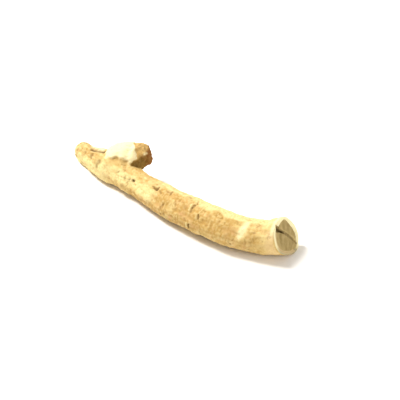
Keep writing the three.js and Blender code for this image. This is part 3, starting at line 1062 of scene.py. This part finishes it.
def mix(tree, factor, low, high):
    """A colour between two colours."""
    node = tree.nodes.new("ShaderNodeMix")
    node.data_type = "RGBA"
    link_or_set(tree, node.inputs["Factor"], factor)
    for socket, value in (("A", low), ("B", high)):
        colours = [s for s in node.inputs if s.name == socket and s.type == "RGBA"]
        link_or_set(tree, colours[0], (*value, 1) if isinstance(value, tuple) else value)
    return next(s for s in node.outputs if s.type == "RGBA")


def calculate(tree, operation, a, b):
    """A sum or a product of two values."""
    node = tree.nodes.new("ShaderNodeMath")
    node.operation = operation
    link_or_set(tree, node.inputs[0], a)
    link_or_set(tree, node.inputs[1], b)
    return node.outputs[0]


def stretch(tree, value, limits, shares):
    """A value moved from its limits to the shares that they become, and held inside them."""
    node = tree.nodes.new("ShaderNodeMapRange")
    for socket, number in zip(node.inputs[1:5], (*limits, *shares)):
        socket.default_value = number
    tree.links.new(value, node.inputs[0])
    return node.outputs[0]


def point_number(tree, name):
    """A number that is kept on the points."""
    node = tree.nodes.new("ShaderNodeAttribute")
    node.attribute_name = name
    return node.outputs["Fac"]


def point_share(tree, name):
    """A named share of colour, from a number on the points."""
    facts = POINT_SHARES[name]
    return stretch(tree, point_number(tree, facts["number"]), facts["limits"], facts["shares"])


def grain(tree, size, detail=2, rough=0.5, shift=0):
    """Noise over the object with features of about the size in millimetres."""
    coordinates = tree.nodes.new("ShaderNodeTexCoord")
    moved = tree.nodes.new("ShaderNodeMapping")
    moved.inputs["Location"].default_value = [shift * MM] * 3
    tree.links.new(coordinates.outputs["Object"], moved.inputs["Vector"])
    node = tree.nodes.new("ShaderNodeTexNoise")
    tree.links.new(moved.outputs["Vector"], node.inputs["Vector"])
    node.inputs["Scale"].default_value = 1 / (size * MM)
    node.inputs["Detail"].default_value = detail
    node.inputs["Roughness"].default_value = rough
    return node.outputs["Fac"]


def grain_share(tree, name):
    """A named share of colour, from fine noise."""
    facts = dict(GRAINS[name])
    limits = facts.pop("limits")
    shares = facts.pop("shares")
    return stretch(tree, grain(tree, **facts), limits, shares)


def bark_colour(tree):
    """Straw and ochre in patches, under coats of rose, dust and painted highlight, pale (partly painted
    highlight), pink and brown, and brown painted shade in the hollows.
    """
    patches = calculate(tree, "ADD", point_share(tree, "patches"), grain_share(tree, "patches"))
    tanned = calculate(tree, "MULTIPLY", point_number(tree, "tan"), TAN_SHIFT)
    dust_and_highlight_amount = calculate(tree, "MULTIPLY", point_number(tree, "dust_and_highlight"), grain_share(tree, "dust_and_highlight"))
    deep = calculate(tree, "ADD", patches, tanned)
    colour = mix(tree, deep, BARK_COLOURS["straw"], BARK_COLOURS["ochre"])
    coats = [
        ("rose", grain_share(tree, "rose")),
        ("dust_and_highlight", point_share(tree, "worn")),
        ("dust_and_highlight", dust_and_highlight_amount),
        # Pale marks, with the painted highlights of the lobe, the ridge and the rim at the cut
        ("pale", point_number(tree, "pale")),
        ("pink", point_number(tree, "pink")),
        ("brown", point_number(tree, "brown")),
        # Painted shade in the hollows of the relief
        ("brown", point_share(tree, "painted_hollow_shade")),
        ("brown", grain_share(tree, "flecks")),
    ]
    for name, share in coats:
        colour = mix(tree, share, colour, BARK_COLOURS[name])
    return colour


def torn_colour(tree):
    """The broken end of the stub: tan above, brightened as painted light, and olive and red brown below,
    with brown flecks.
    """
    low = mix(tree, point_number(tree, "red"), TORN_COLOURS["olive"], TORN_COLOURS["red"])
    colour = mix(tree, point_number(tree, "upper"), low, TORN_COLOURS["tan"])
    colour = mix(tree, point_number(tree, "crown"), colour, TORN_COLOURS["top"])
    return mix(tree, grain_share(tree, "torn"), colour, BARK_COLOURS["brown"])


def wood_colour(tree):
    """The cut wood, dark and pale along its fibres."""
    pale = calculate(tree, "ADD", point_share(tree, "fibres"), grain_share(tree, "wood"))
    return mix(tree, pale, WOOD_COLOURS["deep"], WOOD_COLOURS["pale"])


def lip_colour(tree):
    """The bark's cut lip in lit and shaded copies of one colour: painted highlight on its lit side, dull
    beside that, and painted shade, darker, on its low side.
    """
    lip = mix(tree, point_number(tree, "lit"), LIP_COLOURS_LIT_AND_SHADED["dull"], LIP_COLOURS_LIT_AND_SHADED["lit"])
    return mix(tree, point_number(tree, "low"), lip, LIP_COLOURS_LIT_AND_SHADED["low"])


def root_colour(tree):
    """The bark's colour, and the cut wood, the bark's cut lip and the dark of cracks and pits."""
    colour = mix(tree, point_number(tree, "torn"), bark_colour(tree), torn_colour(tree))
    colour = mix(tree, point_number(tree, "wood"), colour, wood_colour(tree))
    colour = mix(tree, point_number(tree, "lip"), colour, lip_colour(tree))
    colour = mix(tree, point_number(tree, "inner"), colour, LIP_COLOURS_LIT_AND_SHADED["inner"])
    return mix(tree, point_number(tree, "dark"), colour, BARK_COLOURS["dark"])


def new_material(name, shine):
    """A new material and its shader."""
    material = bpy.data.materials.new(name)
    material.use_nodes = True
    shader = material.node_tree.nodes["Principled BSDF"]
    shader.inputs["Specular IOR Level"].default_value = shine
    return material, shader


def root_material():
    material, shader = new_material("dry_bark", BARK_SHINE)
    tree = material.node_tree
    tree.links.new(root_colour(tree), shader.inputs["Base Color"])
    tree.links.new(grain_share(tree, "roughness"), shader.inputs["Roughness"])
    bump = tree.nodes.new("ShaderNodeBump")
    bump.inputs["Strength"].default_value = BUMP["strength"]
    bump.inputs["Distance"].default_value = BUMP["height"] * MM
    tree.links.new(grain(tree, **BUMP_GRAIN), bump.inputs["Height"])
    tree.links.new(bump.outputs["Normal"], shader.inputs["Normal"])
    return material


def make_floor():
    mesh = bpy.data.meshes.new("floor")
    half = FLOOR_SIZE / 2 * MM
    low = -FLOOR_GAP * MM
    corners = [(-half, -half, low), (half, -half, low), (half, half, low), (-half, half, low)]
    mesh.from_pydata(corners, [], [(0, 1, 2, 3)])
    floor = bpy.data.objects.new("floor", mesh)
    scene.collection.objects.link(floor)
    material, shader = new_material("pale_floor", FLOOR_SHINE)
    shader.inputs["Base Color"].default_value = (*FLOOR_COLOUR, 1)
    shader.inputs["Roughness"].default_value = FLOOR_ROUGHNESS
    mesh.materials.append(material)


def aimed(thing, place, target):
    """Puts an object at a place and turns it to look at a target, both in metres."""
    thing.location = place
    thing.rotation_euler = (target - place).to_track_quat("-Z", "Y").to_euler()
    scene.collection.objects.link(thing)


def make_light(name, facts):
    """A round soft light that looks at the middle of the floor."""
    data = bpy.data.lights.new(name, "AREA")
    data.shape = "DISK"
    data.size = facts["size"] * MM
    data.energy = facts["watts"]
    place = Vector(facts["towards"]).normalized() * LIGHT_DISTANCE * MM
    aimed(bpy.data.objects.new(name, data), place, Vector((0, 0, 0)))


def make_world():
    world = bpy.data.worlds.new("studio")
    world.use_nodes = True
    background = world.node_tree.nodes["Background"]
    background.inputs["Color"].default_value = (*WORLD_COLOUR, 1)
    background.inputs["Strength"].default_value = WORLD_STRENGTH
    scene.world = world


def make_camera():
    data = bpy.data.cameras.new("camera")
    data.sensor_width = CAMERA["sensor"]
    data.lens = CAMERA["lens"]
    data.clip_end = CAMERA["sees_to"] * MM
    turn = math.radians(CAMERA["azimuth"])
    lift = math.radians(CAMERA["elevation"])
    back = Vector((math.sin(turn) * math.cos(lift), -math.cos(turn) * math.cos(lift), math.sin(lift)))
    target = Vector(LOOK_AT) * MM
    camera = bpy.data.objects.new("camera", data)
    aimed(camera, target + back * CAMERA["distance"] * MM, target)
    scene.camera = camera


scene.view_settings.view_transform = "Standard"
make_camera()
make_world()
make_light("key_light", KEY_LIGHT)
make_light("face_light", FACE_LIGHT)
make_floor()
make_root()
